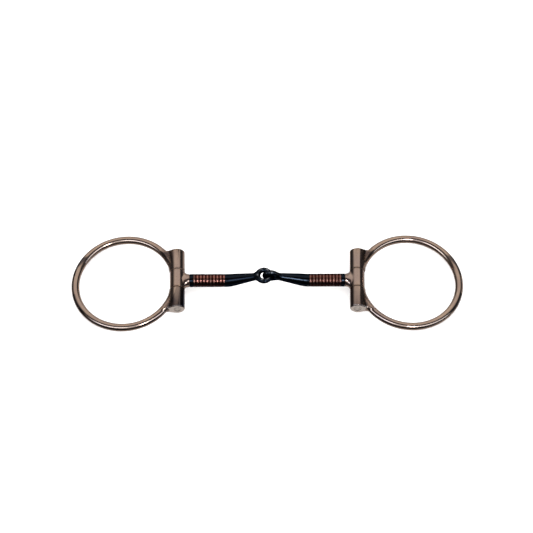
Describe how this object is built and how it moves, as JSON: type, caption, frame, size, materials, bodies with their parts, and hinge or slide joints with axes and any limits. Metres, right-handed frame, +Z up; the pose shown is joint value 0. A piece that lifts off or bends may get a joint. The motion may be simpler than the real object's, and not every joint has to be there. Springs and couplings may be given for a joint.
{
  "type": "snaffle bit",
  "caption": "Offset dee snaffle bit: ring cheeks hinged on barrels at the ends of a jointed mouthpiece, whose tapered bars link through interlocking eyes and carry inlaid copper bands.",
  "frame": {"origin": "middle of the bit at ground level, with the rings' outer edges resting on the ground", "axes": "+X along the mouthpiece towards the right cheek, +Y along the hinge barrels, +Z up, away from the ground"},
  "size_m": [0.3018, 0.0834, 0.0258],
  "materials": {
    "antique_steel": "polished, with a brown antique patina",
    "pin_steel": "ground flush with the barrel ends",
    "blued_iron": "heat-blued sweet iron, satin polish",
    "copper": "bare copper, lightly polished"
  },
  "bodies": {
    "left_mouth_half": {"left_hinge_knuckle": "antique_steel", "left_mouth_bar": "blued_iron", "left_copper_band_1": "copper", "left_copper_band_2": "copper", "left_copper_band_3": "copper", "left_copper_band_4": "copper", "left_copper_band_5": "copper", "left_copper_band_6": "copper", "left_copper_band_7": "copper", "left_copper_band_8": "copper", "left_copper_band_9": "copper", "left_copper_band_10": "copper"},
    "right_mouth_half": {"right_hinge_knuckle": "antique_steel", "right_mouth_bar": "blued_iron", "right_copper_band_1": "copper", "right_copper_band_2": "copper", "right_copper_band_3": "copper", "right_copper_band_4": "copper", "right_copper_band_5": "copper", "right_copper_band_6": "copper", "right_copper_band_7": "copper", "right_copper_band_8": "copper", "right_copper_band_9": "copper", "right_copper_band_10": "copper"},
    "left_cheek": {"left_cheek_ring": "antique_steel", "left_hinge_pin": "pin_steel"},
    "right_cheek": {"right_cheek_ring": "antique_steel", "right_hinge_pin": "pin_steel"}
  },
  "joints": [
    {"name": "mouth_joint_fold", "type": "hinge", "parent": "left_mouth_half", "child": "right_mouth_half", "pos_m": [0.0026, 0, 0.01935], "axis": [0, 1, 0], "range_deg": [-80, 70]},
    {"name": "left_cheek_swing", "type": "hinge", "parent": "left_mouth_half", "child": "left_cheek", "pos_m": [-0.06925, 0, 0.01197], "axis": [0, 1, 0], "range_deg": [-85, 95]},
    {"name": "right_cheek_swing", "type": "hinge", "parent": "right_mouth_half", "child": "right_cheek", "pos_m": [0.06925, 0, 0.01197], "axis": [0, -1, 0], "range_deg": [-85, 95]}
  ]
}
